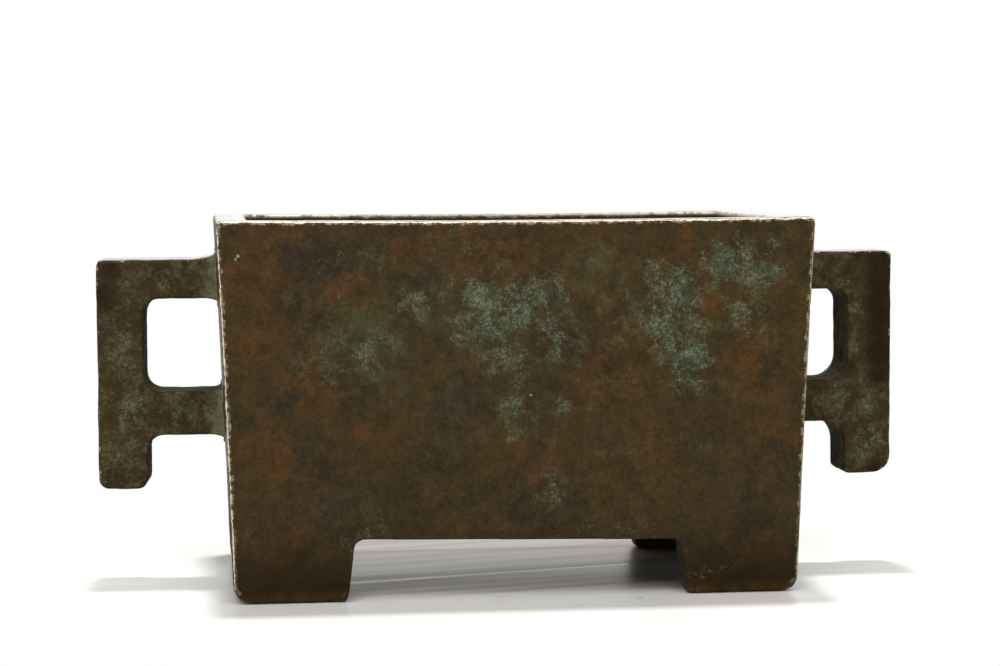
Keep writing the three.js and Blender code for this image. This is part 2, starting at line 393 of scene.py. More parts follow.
class Shader:
    """Adds nodes to a material or a world."""

    def __init__(self, tree):
        self.tree = tree
        tree.nodes.clear()

    def node(self, kind, settings=None, values=None, output=0):
        """Adds a node, sets its settings first and then its sockets, and returns one output."""
        made = self.tree.nodes.new(kind)
        for name, setting in (settings or {}).items():
            setattr(made, name, setting)
        for key, value in (values or {}).items():
            socket = made.inputs[key]
            if isinstance(value, Wire):
                self.tree.links.new(value.socket, socket)
            else:
                socket.default_value = value
        return Wire(self, made.outputs[output]) if made.outputs else made

    def axes(self, vector):
        """The three parts of a vector."""
        made = self.node("ShaderNodeSeparateXYZ", values={"Vector": vector}).socket.node
        return [Wire(self, output) for output in made.outputs]

    def blend(self, share, first, second):
        """first where share is 0 and second where it is 1, as colours."""
        return self.node(
            "ShaderNodeMix", {"data_type": "RGBA", "clamp_factor": True}, {0: share, 6: first, 7: second},
            output=2)

    def scaled(self, colour, share):
        """A colour made lighter or darker."""
        return self.node("ShaderNodeVectorMath", {"operation": "SCALE"}, {0: colour, "Scale": share})

    def noise(self, place, size, detail=4.0, roughness=0.55, distortion=0.0, shift=0.0):
        """Fractal noise from 0 to 1 whose largest features are about size across, in metres."""
        return self.node(
            "ShaderNodeTexNoise", {"noise_dimensions": "4D", "normalize": True},
            {"Vector": place, "W": shift, "Scale": 1 / size, "Detail": detail,
             "Roughness": roughness, "Distortion": distortion})

    def away(self, place, centre):
        """How far a place is from a centre."""
        return self.node(
            "ShaderNodeVectorMath", {"operation": "DISTANCE"}, {0: place, 1: centre}, output="Value")

    def patches(self, place, spots, on_face):
        """Soft spots, each as x, z and radius in millimetres and a thickness from 0 to 1."""
        cover = 0.0
        for x, z, radius, thickness in spots:
            spot = (1 - self.away(place, on_face(x, z)).step(0.0, radius * MM)) * thickness
            cover = spot.most(cover)
        return cover

    def showing(self):
        """1 for rays that show the background: the camera's, and those off metal or through glass."""
        seen = self.node("ShaderNodeLightPath", output="Is Camera Ray")
        rays = seen.socket.node.outputs
        return seen.most(Wire(self, rays["Is Glossy Ray"])).most(Wire(self, rays["Is Transmission Ray"]))


def opaque(colour):
    return (*colour, 1.0)


# Patches on the front, as x, z and radius in millimetres, and a thickness from 0 to 1
FRONT_POWDER = (
    (-7.5, 60.5, 9.0, 1.0),
    (-6.5, 54.5, 8.0, 0.95),
    (0.0, 58.5, 11.0, 0.85),
    (6.0, 61.0, 8.5, 0.8),
    (-3.0, 49.5, 9.0, 0.8),
    (6.5, 54.0, 9.0, 0.72),
    (9.5, 50.0, 7.0, 0.6),
    (-12.5, 60.0, 9.0, 0.72),
    (-11.5, 55.0, 8.0, 0.6),
    (-20.9, 60.0, 6.0, 0.8),
    (-0.8, 44.0, 4.0, 0.6),
    (-0.8, 38.5, 5.5, 0.8),
    (-1.5, 33.0, 3.0, 0.55),
    (8.4, 38.8, 3.6, 0.75),
    (14.5, 38.6, 2.5, 0.6),
    (21.6, 60.2, 4.0, 0.65),
    (27.1, 65.5, 6.0, 0.75),
    (31.6, 61.5, 9.5, 1.0),
    (27.3, 55.5, 7.0, 0.8),
    (30.2, 50.8, 7.5, 0.85),
    (34.2, 48.8, 9.0, 1.0),
    (35.6, 54.2, 6.5, 0.75),
    (34.3, 43.5, 6.5, 0.8),
    (40.8, 67.4, 8.0, 1.0),
    (45.2, 68.4, 6.5, 0.7),
    (48.8, 65.3, 8.0, 0.85),
    (44.4, 58.1, 8.0, 0.62),
    (48.7, 52.6, 6.0, 0.5),
    (6.0, 22.1, 8.0, 0.5),
    (52.0, 71.0, 7.0, 0.5),
    (-29.0, 50.0, 9.0, 0.5),
)
FRONT_MOSS = (
    (-30.5, 53.0, 19.0, 1.0),
    (-27.0, 45.0, 12.0, 0.8),
    (-17.0, 60.0, 17.0, 0.85),
    (-5.0, 55.0, 26.0, 0.9),
    (8.0, 52.0, 18.0, 0.8),
    (14.0, 67.5, 12.0, 0.85),
    (16.4, 61.0, 14.0, 0.7),
    (31.0, 56.0, 22.0, 0.75),
    (44.0, 63.0, 18.0, 0.75),
    (-45.4, 61.5, 7.0, 0.6),
    (-31.0, 69.4, 9.0, 0.7),
    (40.0, 40.5, 10.0, 0.6),
    (-0.8, 38.0, 14.0, 0.65),
    (20.0, 33.0, 16.0, 0.5),
    (-14.0, 36.0, 16.0, 0.55),
)
FRONT_RUSSET = (
    (-52.0, 66.0, 16.0, 0.95),
    (-53.0, 52.0, 15.0, 0.9),
    (-34.5, 62.5, 11.0, 1.0),
    (-43.5, 56.0, 12.0, 0.85),
    (-31.4, 48.9, 5.0, 0.9),
    (-28.2, 42.5, 6.0, 0.8),
    (-42.4, 42.0, 14.0, 0.85),
    (-8.8, 46.5, 6.0, 0.8),
    (-21.2, 71.0, 14.0, 0.85),
    (-4.0, 70.4, 18.0, 0.9),
    (-46.5, 73.0, 14.0, 0.8),
    (12.5, 71.0, 12.0, 0.7),
    (32.5, 69.0, 12.0, 0.9),
    (56.5, 70.0, 10.0, 0.9),
    (39.7, 59.2, 8.0, 1.0),
    (32.2, 56.5, 4.0, 0.9),
    (16.4, 56.8, 9.0, 0.9),
    (10.8, 54.1, 5.0, 0.8),
    (19.0, 46.0, 18.0, 0.9),
    (47.0, 48.0, 20.0, 0.85),
    (45.5, 63.3, 5.0, 0.8),
    (54.0, 58.0, 12.0, 0.85),
    (-48.0, 30.0, 16.0, 0.8),
    (-46.0, 12.0, 12.0, 0.7),
    (-30.0, 33.0, 14.0, 0.6),
    (46.0, 10.0, 13.0, 0.6),
    (52.0, 30.0, 14.0, 0.75),
    (24.0, 26.0, 20.0, 0.6),
    (0.0, 26.0, 18.0, 0.55),
    (-18.0, 20.0, 14.0, 0.6),
)
FRONT_UMBER = (
    (-41.4, 69.0, 12.0, 0.9),
    (-46.0, 62.5, 6.0, 0.8),
    (-18.9, 67.0, 8.0, 0.8),
    (-49.5, 41.5, 9.0, 0.7),
    (-10.6, 41.0, 12.0, 0.75),
    (-12.5, 59.0, 5.0, 0.6),
    (-2.0, 73.5, 6.0, 0.5),
    (50.5, 47.0, 6.0, 0.7),
    (-38.0, 22.0, 18.0, 0.55),
    (8.0, 20.0, 20.0, 0.5),
    (48.0, 22.0, 16.0, 0.5),
)
FRONT_FLECKS = (
    (-55.5, 69.4, 0.85, 1.0),
    (-55.9, 68.8, 0.8, 0.9),
    (2.2, 41.2, 0.6, 1.0),
)

# Patches on the front of the handles, in the same way
LEFT_POWDER = (
    (-79.0, 48.5, 9.0, 0.62),
    (-77.5, 36.5, 9.0, 0.7),
    (-78.5, 28.4, 8.0, 0.62),
    (-66.1, 35.5, 8.0, 0.6),
    (-71.5, 63.5, 6.0, 0.45),
)
LEFT_SOOT = (
    (-83.5, 60.0, 8.0, 0.8),
    (-81.6, 66.0, 7.0, 0.7),
    (-83.0, 53.0, 6.0, 0.6),
    (-81.5, 22.0, 7.0, 0.7),
    (-71.5, 65.5, 7.0, 0.5),
)
RIGHT_POWDER = (
    (71.2, 63.8, 3.4, 0.7),
    (73.4, 61.4, 3.4, 0.7),
    (76.3, 55.0, 3.6, 0.7),
    (75.9, 47.5, 2.6, 0.7),
    (78.6, 35.7, 5.0, 0.9),
    (79.4, 28.4, 6.5, 0.85),
    (77.7, 25.8, 5.0, 0.8),
    (73.5, 38.0, 6.0, 0.7),
)
RIGHT_SOOT = (
    (82.0, 67.0, 8.0, 1.0),
    (82.0, 62.0, 8.0, 1.0),
    (82.0, 57.0, 8.5, 1.0),
    (82.0, 52.0, 8.5, 1.0),
    (82.0, 47.0, 8.5, 1.0),
    (81.5, 42.0, 6.5, 0.8),
    (76.5, 68.0, 5.0, 0.7),
    (80.6, 21.0, 5.0, 0.9),
    (75.0, 43.5, 3.5, 0.6),
)


@dataclass
class Finish:
    """What differs from one cast piece to the next in its patina."""

    # Turns a spot's place in millimetres into the point of the face that it lies on
    on_face: Callable = on_front
    # Spots of each kind on that face
    powder: tuple = ()
    moss: tuple = ()
    russet: tuple = ()
    umber: tuple = ()
    soot: tuple = ()
    flecks: tuple = ()
    # Green powder at random places, everywhere and besides that behind the front face
    stray: float = 0.35
    stray_behind: float = 0.0
    # How blue the green is, and how much russet and ochre the ground has
    chill: float = 1.0
    warmth: float = 1.0
    # Khaki dust over the whole piece, and on solder and in openings
    dust: float = 0.0
    root_dust: float = 0.0
    # Bare metal on bent edges, and in hairlines along the arrises and the rim, which dips by rim_sag; the
    # hairlines are partly a painted highlight
    wear: float = 0.35
    arris_wear_and_highlight: float = 0.0
    rim_sag: float = 0.0
    # Shine of the upper faces and of the short sides, and the rusty stain along the floor
    polish: float = 0.0
    flank_gloss: float = 0.0
    hem: float = 0.0


# Heights and distances that the patina goes by, in metres, each from a change's start to its end
BOTTOM_DARKENING_HEIGHT = (0.001, 0.019)
HEM_HEIGHT = (0.0008, 0.0035)
BELLY_EDGE_HEIGHT = (0.016, 0.022)
FLANK_GLOSS_HEIGHT = (0.015, 0.025)
POLISH_HEIGHT = (0.058, 0.064)
UPPER_ARM_HEIGHT = (0.062, 0.064)
FOOT_INNER_EDGE = (0.034, 0.037)
FRONT_TO_BACK = (-0.03, -0.015)
SOLDER_REACH = (0.0002, 0.0048)
FROM_OUTER_END = (-0.004, -0.003)


class Patina:
    """Builds a cast piece's material in layers: clouds, grimy hollows, painted shade, green bloom, dust, worn
    metal and painted highlights.
    """

    def __init__(self, name, colours, finish, shift):
        self.material = bpy.data.materials.new(name)
        self.material.use_nodes = True
        self.shader = shader = Shader(self.material.node_tree)
        self.colours = colours
        self.finish = finish
        self.shift = shift
        self.place = shader.node("ShaderNodeTexCoord", output="Object")
        self.worn = shader.node("ShaderNodeAttribute", {"attribute_name": "worn"}, output="Fac")
        self.sunk = shader.node("ShaderNodeAttribute", {"attribute_name": "sunk"}, output="Fac")
        self.x, self.y, self.z = shader.axes(self.place)
        self.normal = shader.axes(shader.node("ShaderNodeNewGeometry", output="Normal"))
        self.facing_up = self.normal[2].step(0.75, 0.95)

        # Noise that several layers share, from the broadest to the finest
        self.cloud = self.noise(0.01, 3, detail=6.0, roughness=0.68).step(0.36, 0.64)
        self.mottle = self.noise(0.0034, 7, detail=5.0, roughness=0.7).step(0.34, 0.66)
        self.clump = self.noise(0.0032, 23, detail=4.0, roughness=0.65, distortion=0.6).step(0.36, 0.62)
        self.fine = self.noise(0.0009, 11, detail=4.0, roughness=0.8).step(0.3, 0.7)
        self.flake = self.noise(0.00058, 29, detail=3.0, roughness=0.7, distortion=1.2).step(0.38, 0.62)

        # The sides of a handle's openings: none on the other pieces
        self.inside = self.reveal = 0.0
        self.lay_clouds()
        self.lay_grime()
        self.lay_green()
        if finish.root_dust:
            self.lay_solder()
        self.lay_bare_metal_and_highlights()
        self.finish_surface()

    def noise(self, size, shift, **settings):
        """The piece's own noise, shifted from that of other pieces and layers."""
        return self.shader.noise(self.place, size, shift=self.shift + shift, **settings)

    def spots(self, places):
        return self.shader.patches(self.place, places, self.finish.on_face)

    def lay(self, share, colour):
        """Covers a share of what is there with a colour."""
        over = colour if isinstance(colour, Wire) else opaque(colour)
        self.colour = self.shader.blend(share, self.colour, over)

    def lay_clouds(self):
        """Clouds of the ground colours."""
        cloud, mottle, fine, colours = self.cloud, self.mottle, self.fine, self.colours
        warmth = self.finish.warmth
        broad = self.noise(0.024, 0, detail=4.0, roughness=0.6, distortion=0.5).step(0.35, 0.65)
        russet, umber = self.spots(self.finish.russet), self.spots(self.finish.umber)
        self.colour = opaque(colours.olive)
        self.lay((russet * 0.7 + cloud * 0.5 + mottle * 0.45).step(0.6, 1.55) * warmth, colours.russet)
        shade = umber * 0.8 - cloud * 0.5 - mottle * 0.2 + broad * 0.4
        self.lay(shade.step(-0.1, 0.8) * 0.9, colours.umber)
        stains = (mottle * 0.6 + fine * 0.5 + russet * 0.3).step(0.75, 1.35)
        self.lay(stains * 0.5 * warmth, colours.ochre)
        self.lay((mottle * 0.6 + fine * 0.4).step(0.45, 0.95) * self.finish.dust, colours.khaki)
        self.colour = self.shader.scaled(self.colour, 0.43 + fine * 0.42 + mottle * 0.22 + cloud * 0.14)

    def lay_grime(self):
        """Darker towards the bottom, grimy in the hollows and in sooty spots, and a rusty hem along the
        floor.
        """
        # Darker towards the bottom of the piece
        low = 1 - self.z.step(*BOTTOM_DARKENING_HEIGHT)
        soot = self.spots(self.finish.soot) + (self.cloud + self.mottle - 1) * 0.25
        soot = soot.step(0.2, 0.9) * 0.85
        self.lay((low * 0.78).most(self.sunk * 0.6).most(soot), self.colours.grime_and_shade)
        hem = (1 - self.z.step(*HEM_HEIGHT)) * (0.2 + self.mottle * 0.5) * self.finish.hem
        self.lay(hem, self.colours.ochre)

    def lay_green(self):
        """A green bloom, and the powdery specks inside it."""
        finish, colours, clump, fine = self.finish, self.colours, self.clump, self.fine
        stray = self.noise(0.018, 17, detail=3.0).step(0.42, 0.66)
        stray = stray * (finish.stray + self.y.step(*FRONT_TO_BACK) * finish.stray_behind)
        cover = stray.most(self.spots(finish.powder))
        moss = self.spots(finish.moss)
        haze = (cover.most(moss * 0.8) * 0.9 + clump * 0.35 + self.mottle * 0.25).step(0.55, 1.35)
        chill = cover.step(0.3, 0.9) * finish.chill
        bloom = self.shader.blend(chill, opaque(colours.moss), opaque(colours.teal))
        self.lay(haze * 0.66, self.shader.scaled(bloom, 0.55 + fine * 0.6 + clump * 0.25))
        specks = (cover * 0.5 + clump * 0.5 + self.flake * 0.9).step(1.05, 1.95)
        self.specks = specks * cover.step(0.02, 0.4) * colours.verdigris_amount
        self.lay(self.specks, [dust + (green - dust) * finish.chill
                               for dust, green in zip(colours.dust, colours.verdigris)])

    def lay_solder(self):
        """Dust on the solder at a handle's roots, a speckled lining in its openings, and painted shade on
        their rounded edges.
        """
        shader, colours, clump, flake = self.shader, self.colours, self.clump, self.flake
        mottle, fine = self.mottle, self.fine
        gap = abs(self.x) - wall_half(self.z, 0) + (mottle - 0.5) * 0.003 + (clump - 0.5) * 0.002
        root = (1 - gap.step(*SOLDER_REACH)) * self.finish.root_dust
        self.lay(root, shader.scaled(tuple(colours.khaki), 0.85 + fine * 0.8))
        self.lay(root * flake * 0.8, colours.dust)

        inside = 1 - (abs(self.x) - HANDLE_REACH).step(*FROM_OUTER_END)
        self.inside = inside * (1 - self.z.step(*UPPER_ARM_HEIGHT))
        self.reveal = (1 - abs(self.normal[1])).step(0.55, 0.9) * self.inside
        lining = shader.blend(clump, opaque(colours.olive), opaque(colours.khaki))
        bloomed = (clump * 0.5 + flake * 0.7).step(0.6, 1.1) * 0.4
        lining = shader.blend(bloomed, lining, opaque(colours.teal))
        dusty = (mottle * 0.6 + flake * 0.6).step(0.75, 1.15) * 0.6
        lining = shader.blend(dusty, lining, opaque(colours.dust))
        self.lay(self.reveal * 0.9, shader.scaled(lining, 0.9 + fine * 0.8))
        # Painted shade: the rounded edges round the openings are darkened
        self.lay(self.worn.step(0.5, 1.0) * self.inside * 0.5, colours.grime_and_shade)

    def lay_bare_metal_and_highlights(self):
        """Edges worn through to pale metal, though hardly the belly's lower edge, flecks, and pale lines
        along the arrises and the rim, partly worn metal and partly painted highlight.
        """
        between_feet = 1 - abs(self.x).step(*FOOT_INNER_EDGE)
        under_belly = between_feet * (1 - self.z.step(*BELLY_EDGE_HEIGHT)) * 0.45
        broken = self.noise(0.0022, 31, detail=5.0, roughness=0.75)
        torn = broken.step(0.36, 0.64) - 0.5
        tatty = self.noise(0.0013, 47, detail=3.0, roughness=0.8).step(0.35, 0.65) - 0.5
        bare_and_lit = (self.worn * 0.9 + torn * 0.5 + tatty * 0.6).step(0.7, 1.2)
        bare_and_lit = bare_and_lit * (0.5 + self.z.step(*BELLY_EDGE_HEIGHT) * 0.5 - under_belly) * self.finish.wear
        if self.finish.root_dust:
            bare_and_lit = bare_and_lit * (1 - self.inside * 0.85)
        # Painted highlight, partly worn metal: pale hairlines along the arrises and the rim
        if self.finish.arris_wear_and_highlight:
            bare_and_lit = bare_and_lit.most(self.worn_and_lit_hairlines(broken, torn, tatty) * self.finish.arris_wear_and_highlight)
        self.bare_and_lit = bare_and_lit
        flecks = (self.spots(self.finish.flecks) + (self.fine - 0.5) * 0.5).step(0.4, 0.8) * 0.25
        self.lay(bare_and_lit.most(flecks), self.colours.rubbed_and_highlight)

    def worn_and_lit_hairlines(self, broken, torn, tatty):
        """Lines along the middle of the upright arrises and round both edges of the rim, partly worn metal
        and partly a painted highlight on the rounded edges.
        """
        x, y, z = self.x, self.y, self.z
        side, front = wall_half(z, 0) - abs(x), wall_half(z, 1) - abs(y)
        wander = torn * 0.00025
        thickness = 0.00008 + tatty * 0.0003
        upright = 1 - (abs(side - front + wander) - thickness).step(0.0, 0.00022)
        # Only close to the arris, and fainter on the right
        upright = upright * (1 - side.most(front).step(0.0006, 0.0009))
        upright = upright * (1 - x.step(-0.02, 0.02) * 0.5)
        patchy = self.noise(0.005, 43, detail=4.0, roughness=0.7).step(0.34, 0.5)
        sag = (1 - x * x * (1 / wall_half(HEIGHT, 0) ** 2)) * self.finish.rim_sag
        nearest = 0 - (0 - side).most(0 - front)
        outer_rim = 1 - (abs(HEIGHT - z - sag - nearest + wander) - thickness).step(0.0001, 0.0003)
        outer_rim = outer_rim * z.step(HEIGHT - 0.0016, HEIGHT - 0.0012)
        inner_rim = z.step(HEIGHT - 0.0013, HEIGHT - 0.0004) * nearest.step(0.003, 0.005)
        inner_rim = inner_rim * broken.step(0.3, 0.55)
        lines = (upright * (0.25 + patchy * 0.75)).most(outer_rim * (0.4 + patchy * 0.6))
        return lines.most(inner_rim)

    def finish_surface(self):
        """Grain and pits, the shine of the upper faces and short sides, and the surface itself."""
        shader, mottle, bare_and_lit, finish = self.shader, self.mottle, self.bare_and_lit, self.finish
        grain = self.noise(0.0006, 37, detail=3.0, roughness=0.65)
        pits = self.noise(0.0026, 41, detail=2.0, roughness=0.5).step(0.62, 0.75)
        relief = grain * 0.7 + mottle * 0.5 - pits * 0.6 + self.specks * 0.5
        relief = relief * (1 - self.facing_up.most(self.reveal) * 0.8)
        polish = self.facing_up * self.z.step(*POLISH_HEIGHT) * finish.polish
        flank = abs(self.normal[0]).step(0.85, 0.97) * self.z.step(*FLANK_GLOSS_HEIGHT) * finish.flank_gloss
        self.lay(polish * (0.3 + mottle * 0.6), self.colours.bronze)
        roughness = 0.52 + self.fine * 0.12 + self.specks * 0.3 + self.reveal * 0.3
        surface = shader.node("ShaderNodeBsdfPrincipled", values={
            "Base Color": self.colour,
            "Metallic": (bare_and_lit * 0.3).most(polish * 0.9),
            "Roughness": roughness - bare_and_lit * 0.15 - polish * 0.42,
            "Specular IOR Level": 0.04,
            "Coat Weight": polish.most(flank * (0.15 + mottle * 0.3)),
            "Coat Roughness": 0.12,
            "Normal": shader.node("ShaderNodeBump", values={
                "Height": relief, "Strength": 0.8, "Distance": self.colours.grain_height}),
        })
        shader.node("ShaderNodeOutputMaterial", values={"Surface": surface})


# Pieces

# Share of its faces that each mesh keeps once its shape is done
FACES_KEPT = {"vessel": 0.24, "floor_plate": 0.4, "handle": 0.5}

# Bounds of the walls' parts that the handles sit on, from the middle outwards and from the floor
# up, in metres, each from a change's start to its end
SEAT_DEPTH = (0.008, 0.01)
SEAT_ACROSS = (0.05, 0.052)
SEAT_BOTTOM = (0.024, 0.027)
SEAT_TOP = (0.071, 0.074)

# How deep behind the long sides the rounding of their corners starts and stops to fade
CORNER_DEPTH = (0.0015, 0.006)

# Radius of the long sides' corners, worn rounder than they were cast, in millimetres
CORNER_RADII = {"left rim": 2.4, "right rim": 1.5, "left foot": 4.6, "right foot": 3.4}


def held_still(points, normals):
    """1 where the vessel keeps its cast shape: where it faces down, and where the handles sit."""
    across, depth, height = np.abs(points).T
    undersides = blend_step(-normals[:, 2], 0.5, 0.9)
    seats = (1 - blend_step(depth, *SEAT_DEPTH)) * blend_step(across, *SEAT_ACROSS)
    seats *= blend_step(height, *SEAT_BOTTOM) * (1 - blend_step(height, *SEAT_TOP))
    return np.maximum(undersides, seats)


def rubbed_corners(points, edges):
    """Points with the outer corners of the rim and of the feet worn rounder, as seen from in front."""
    across, depth = np.abs(points[:, 0]), np.abs(points[:, 1])
    out = np.sign(points[:, 0])
    near_face = 1 - blend_step(wall_half(points[:, 2], 1) - depth, *CORNER_DEPTH)
    for name, radius in CORNER_RADII.items():
        radius = radius * MM
        hand, end = name.split()
        side = out < 0 if hand == "left" else out > 0
        inwards = wall_half(points[:, 2], 0) - across
        height = HEIGHT - points[:, 2] if end == "rim" else points[:, 2]
        to_side, to_end = radius - inwards, radius - height
        reach = np.hypot(to_side, to_end)
        pull = np.where(side & (to_side > 0) & (to_end > 0) & (reach > radius), 1 - radius / reach, 0)
        pull = pull * near_face
        across = across - pull * to_side
        lift = pull * to_end
        points = np.stack([out * across, points[:, 1], points[:, 2] + (-lift if end == "rim" else lift)], 1)
    return relaxed(points, edges, 2)


def dipped_rims(points, sag):
    """Points with the long rims dipping towards their middle."""
    along = points[:, 0] / wall_half(HEIGHT, 0)
    near_rim = blend_step(points[:, 2], 0.6 * HEIGHT, HEIGHT)
    points[:, 2] -= sag * near_rim * np.clip(1 - along ** 2, 0, 1)
    return points


class BURNER_OT_cast_body(bpy.types.Operator):
    """Make the vessel: tapering walls, rim and bracket feet in one casting."""

    bl_idname = "burner.cast_body"
    bl_label = "Cast the vessel"

    def execute(self, context):
        casting = context.scene.burner_casting
        node = "vessel_body"
        skin = skin_of(node, casting.body_voxel)
        points = relaxed(points_of(skin), edges_of(skin), 1)
        points = rubbed_corners(points, edges_of(skin))
        set_points(skin, dipped_rims(points, casting.rim_sag))
        weathered(skin, casting, 1.0, 1.0, 3, still=held_still)
        skin = thinned(skin, FACES_KEPT["vessel"])
        # The feet stand exactly on the floor
        points = points_of(skin)
        points[:, 2] = np.maximum(points[:, 2], 0)
        set_points(skin, points)
        finish = Finish(
            powder=FRONT_POWDER, moss=FRONT_MOSS, russet=FRONT_RUSSET, umber=FRONT_UMBER,
            flecks=FRONT_FLECKS, stray=0.25, stray_behind=0.4, wear=0.2,
            arris_wear_and_highlight=0.75, rim_sag=casting.rim_sag, polish=1.0, flank_gloss=0.5, hem=1.0)
        patina = Patina("body_patina", context.scene.burner_patina, finish, 0.0)
        shown("vessel", skin, patina.material, node)
        return {"FINISHED"}


class BURNER_OT_cast_floor(bpy.types.Operator):
    """Make the flat floor plate that is let into the vessel."""

    bl_idname = "burner.cast_floor"
    bl_label = "Cast the floor plate"

    def execute(self, context):
        casting = context.scene.burner_casting
        node = "base_plate"
        skin = skin_of(node, casting.body_voxel)
        weathered(skin, casting, 1.0, 1.0, 47)
        skin = thinned(skin, FACES_KEPT["floor_plate"])
        finish = Finish(stray=0.6, dust=0.3)
        patina = Patina("floor_patina", context.scene.burner_patina, finish, 50.0)
        shown("floor_plate", skin, patina.material, node)
        return {"FINISHED"}


def root_edges(shape, side):
    """The edges round a handle's root faces, where its arms meet the wall."""
    def out_of_wall(vertex):
        return side * vertex.co.x - wall_half(vertex.co.z, 0)

    seat = min(out_of_wall(vertex) for vertex in shape.verts)
    at_root = {
        face for face in shape.faces
        if all(out_of_wall(vertex) < seat + 0.1 * MM for vertex in face.verts)
    }
    return [edge for edge in shape.edges if sum(face in at_root for face in edge.link_faces) == 1]


def with_solder(mesh, side, bead, seed):
    """A handle's mesh with a lumpy bead of solder along its roots."""
    shape = bmesh.new()
    shape.from_mesh(mesh)
    bmesh.ops.remove_doubles(shape, verts=shape.verts, dist=MM / 1000)
    chance = np.random.default_rng(seed)
    places = []
    for edge in root_edges(shape, side):
        start, end = (vertex.co.copy() for vertex in edge.verts)
        count = int((end - start).length / (0.8 * bead) + chance.uniform(0, 1))
        places += [start.lerp(end, (i + 0.5) / count) for i in range(count)]
    lump = bmesh.new()
    bmesh.ops.create_icosphere(lump, subdivisions=2, radius=1.0)
    for place in places:
        ball = bpy.data.meshes.new("lump")
        lump.to_mesh(ball)
        ball.transform(Matrix.Translation(place) @ Matrix.Scale(chance.uniform(0.55, 1.15) * bead, 4))
        shape.from_mesh(ball)
        bpy.data.meshes.remove(ball)
    shape.to_mesh(mesh)
    shape.free()
    lump.free()
    return mesh


def seated(points, side, seat):
    """A handle's points drawn towards the wall, which it touches but for a thin seat."""
    gap = side * points[:, 0] - wall_half(points[:, 2], 0)
    loose, fixed = 0.9 * MM, 2.5 * MM
    closed = seat + np.clip(gap - loose, 0, None) * (fixed - seat) / (fixed - loose)
    points[:, 0] += side * (np.where(gap < fixed, closed, gap) - gap)
    return points


class BURNER_OT_cast_handles(bpy.types.Operator):
    """Make the two flat handles, soldered to the walls."""

    bl_idname = "burner.cast_handles"
    bl_label = "Cast the handles"

    def execute(self, context):
        finishes = {
            "left": Finish(
                on_face=on_handle, powder=LEFT_POWDER, soot=LEFT_SOOT, stray=0.3, chill=0.1,
                warmth=0.6, dust=0.65, wear=0.6, polish=0.8, root_dust=0.9),
            "right": Finish(
                on_face=on_handle, powder=RIGHT_POWDER, soot=RIGHT_SOOT, stray=0.3, chill=0.1,
                warmth=0.4, dust=0.65, wear=0.5, polish=0.8, root_dust=0.75),
        }
        for name, side, seed in (("left", -1, 61), ("right", 1, 83)):
            self.cast(context, name, side, seed, finishes[name])
        return {"FINISHED"}

    def cast(self, context, name, side, seed, finish):
        casting = context.scene.burner_casting
        node = f"{name}_handle"
        rough = with_solder(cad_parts[node].data.copy(), side, casting.bead, seed)
        skin = remeshed(rough, casting.handle_voxel)
        set_points(skin, relaxed(points_of(skin), edges_of(skin), 2))
        weathered(skin, casting, 1.0, 4.0, seed)
        set_points(skin, seated(points_of(skin), side, casting.seat))
        skin = thinned(skin, FACES_KEPT["handle"])
        patina = Patina(f"{name}_handle_patina", context.scene.burner_patina, finish, float(seed))
        shown(f"{name}_halberd_handle", skin, patina.material, node)


class BURNER_OT_set_rivets(bpy.types.Operator):
    """Make the four rivets that hold the handles."""

    bl_idname = "burner.set_rivets"
    bl_label = "Set the rivets"

    def execute(self, context):
        casting = context.scene.burner_casting
        finish = Finish(stray=0.4, dust=0.3, wear=0.5)
        patina = Patina("rivet_patina", context.scene.burner_patina, finish, 120.0)
        for seed, node in enumerate(sorted(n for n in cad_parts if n.endswith("_rivet"))):
            skin = skin_of(node, casting.rivet_voxel)
            set_points(skin, relaxed(points_of(skin), edges_of(skin), 3))
            weathered(skin, casting, 0.5, 1.0, 130 + seed)
            shown(node.replace("_rivet", "_hammered_rivet"), skin, patina.material, node)
        return {"FINISHED"}


# Stage

# Where the floor stops showing shadows and turns plain white for the camera and for reflections, in
# metres from the middle, each from the change's start to its end
SHADOWS_END = {"side": (0.098, 0.125), "back": (0.042, 0.06), "front": (0.062, 0.085)}

# Turn of the floor's brushed streaks, and how many times longer than wide they are
STREAK_ANGLE = math.radians(15)
STREAK_STRETCH = 22.0

# Place of the pale scratch, across the streaks, and how far from the middle it fades out
SCRATCH_AT = -0.00115
SCRATCH_END = (0.03, 0.045)

# Bounds of the warm shade painted on the floor under the vessel and of the shadow painted just behind
# it, from a change's start to its end, in metres
WARM_SHADE_SIDE = (0.04, 0.052)
WARM_SHADE_FRONT = (-0.034, -0.02)
PAINTED_SHADOW_SIDE = (0.036, 0.05)
PAINTED_SHADOW_FRONT = (0.027, 0.035)
PAINTED_SHADOW_BACK = (0.06, 0.08)

# Behind the vessel's middle the shadows end so much further back, within these bounds
MIDDLE_SHADOW = 0.03
MIDDLE_SIDE = (0.042, 0.056)

# Specks of dirt on the floor, as x, y and radius in millimetres, and a thickness from 0 to 1
FLOOR_DIRT = (
    (-3.6, -31.0, 1.4, 1.0),
    (-12.0, -33.0, 1.2, 0.8),
    (24.0, -36.0, 1.6, 0.9),
    (-2.0, -30.2, 1.0, 0.8),
)


def on_floor(x, y):
    """The point of the floor at a place given in millimetres."""
    return (x * MM, y * MM, 0.0)


def camera_turn(stage):
    """The camera's rotation: it looks along the depth axis, turned, tilted and leaned."""
    yaw, pitch, roll = stage.camera_yaw, stage.camera_pitch, stage.camera_roll
    ahead = Vector((-math.sin(yaw) * math.cos(pitch), math.cos(yaw) * math.cos(pitch), -math.sin(pitch)))
    level = Vector((math.cos(yaw), math.sin(yaw), 0.0))
    above = level.cross(ahead)
    across = math.cos(roll) * level + math.sin(roll) * above
    upright = -math.sin(roll) * level + math.cos(roll) * above
    return Matrix((across, upright, -ahead)).transposed()


